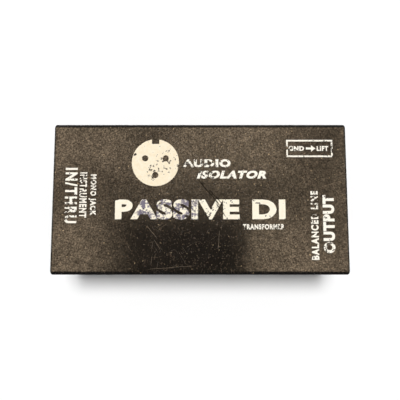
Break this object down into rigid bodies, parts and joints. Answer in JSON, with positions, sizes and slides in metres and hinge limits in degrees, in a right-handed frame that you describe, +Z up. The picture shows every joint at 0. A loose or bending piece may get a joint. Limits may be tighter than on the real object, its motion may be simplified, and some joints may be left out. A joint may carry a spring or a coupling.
{
  "type": "direct injection box",
  "caption": "Passive direct injection box: folded sheet-metal case with instrument jacks at one end, and a balanced output connector and ground-lift switch at the other.",
  "frame": {"origin": "middle of the footprint, on the surface that the feet stand on", "axes": "+X towards the output end, +Y towards the rear long side, +Z up out of the printed face"},
  "size_m": [0.127, 0.0652, 0.0445],
  "materials": {
    "case_paint": "textured semi-gloss powder coat over folded steel",
    "zinc_steel": "bright zinc plate",
    "foot_rubber": "matte moulded rubber",
    "nickel": "bright nickel plate on turned brass",
    "satin_nickel": "satin nickel plate on a zinc die casting",
    "phenolic": "brown phenolic sheet",
    "tinned_brass": "tinned brass",
    "spring_metal": "nickel silver spring strip",
    "insert_plastic": "black glass-filled moulding",
    "contact_silver": "silver plate on turned brass",
    "lever_plastic": "black moulded acetal",
    "spring_steel": "music wire",
    "core_steel": "blued silicon steel laminations",
    "bobbin_nylon": "natural nylon moulding",
    "primary_copper": "enamelled copper wire",
    "secondary_copper": "enamelled copper wire",
    "polyester_tape": "yellow polyester tape",
    "insulation_white": "PVC insulation with tinned ends",
    "insulation_black": "PVC insulation with tinned ends",
    "insulation_red": "PVC insulation with tinned ends",
    "insulation_blue": "PVC insulation with tinned ends",
    "insulation_green": "PVC insulation with tinned ends",
    "insulation_yellow": "PVC insulation with tinned ends",
    "legend_ink": "screen-printed epoxy ink on the cover's top"
  },
  "bodies": {
    "case": {"base": "case_paint", "cover": "case_paint", "cover_screws": "zinc_steel", "foot_input_front": "foot_rubber", "foot_input_rear": "foot_rubber", "foot_output_front": "foot_rubber", "foot_output_rear": "foot_rubber", "ground_tag": "tinned_brass", "input_jack_backing_washer": "nickel", "input_jack_bushing": "nickel", "input_jack_front_wafer": "phenolic", "input_jack_nut": "nickel", "input_jack_rear_wafer": "phenolic", "input_jack_sleeve_tag": "tinned_brass", "input_jack_tip_contact": "spring_metal", "input_jack_washer": "nickel", "output_flange_nuts": "zinc_steel", "output_flange_screws": "zinc_steel", "output_insert": "insert_plastic", "output_pin_1": "contact_silver", "output_pin_2": "contact_silver", "output_pin_3": "contact_silver", "output_shell": "satin_nickel", "switch_frame": "zinc_steel", "switch_screws": "zinc_steel", "switch_terminal_board": "phenolic", "switch_terminals": "tinned_brass", "thru_jack_backing_washer": "nickel", "thru_jack_bushing": "nickel", "thru_jack_front_wafer": "phenolic", "thru_jack_nut": "nickel", "thru_jack_rear_wafer": "phenolic", "thru_jack_sleeve_tag": "tinned_brass", "thru_jack_tip_contact": "spring_metal", "thru_jack_washer": "nickel", "transformer_bobbin": "bobbin_nylon", "transformer_bracket": "zinc_steel", "transformer_e_laminations": "core_steel", "transformer_i_laminations": "core_steel", "transformer_nuts": "zinc_steel", "transformer_primary": "primary_copper", "transformer_screws": "zinc_steel", "transformer_secondary": "secondary_copper", "transformer_tape": "polyester_tape", "transformer_terminals": "tinned_brass", "wire_chassis": "insulation_yellow", "wire_output_cold": "insulation_blue", "wire_output_hot": "insulation_red", "wire_pin_1": "insulation_green", "wire_primary_hot": "insulation_white", "wire_primary_return": "insulation_black", "wire_sleeve_link": "insulation_black", "wire_tip_link": "insulation_white"},
    "ground_lift_slider": {"switch_slider": "lever_plastic", "switch_bridge_contacts": "contact_silver", "switch_springs": "spring_steel"},
    "input_tip_arm": {"input_jack_tip_arm": "spring_metal"},
    "thru_tip_arm": {"thru_jack_tip_arm": "spring_metal"}
  },
  "joints": [
    {"name": "ground_lift_slide", "type": "slide", "parent": "case", "child": "ground_lift_slider", "axis": [0, 0, 1], "range_m": [0, 0.0032]},
    {"name": "input_tip_flex", "type": "hinge", "parent": "case", "child": "input_tip_arm", "pos_m": [-0.05395, 0.0135, 0.01455], "axis": [0, 1, 0], "range_deg": [0, 5], "stiffness_Nm_per_rad": 0.2},
    {"name": "thru_tip_flex", "type": "hinge", "parent": "case", "child": "thru_tip_arm", "pos_m": [-0.05395, -0.0135, 0.01455], "axis": [0, 1, 0], "range_deg": [0, 5], "stiffness_Nm_per_rad": 0.2}
  ]
}
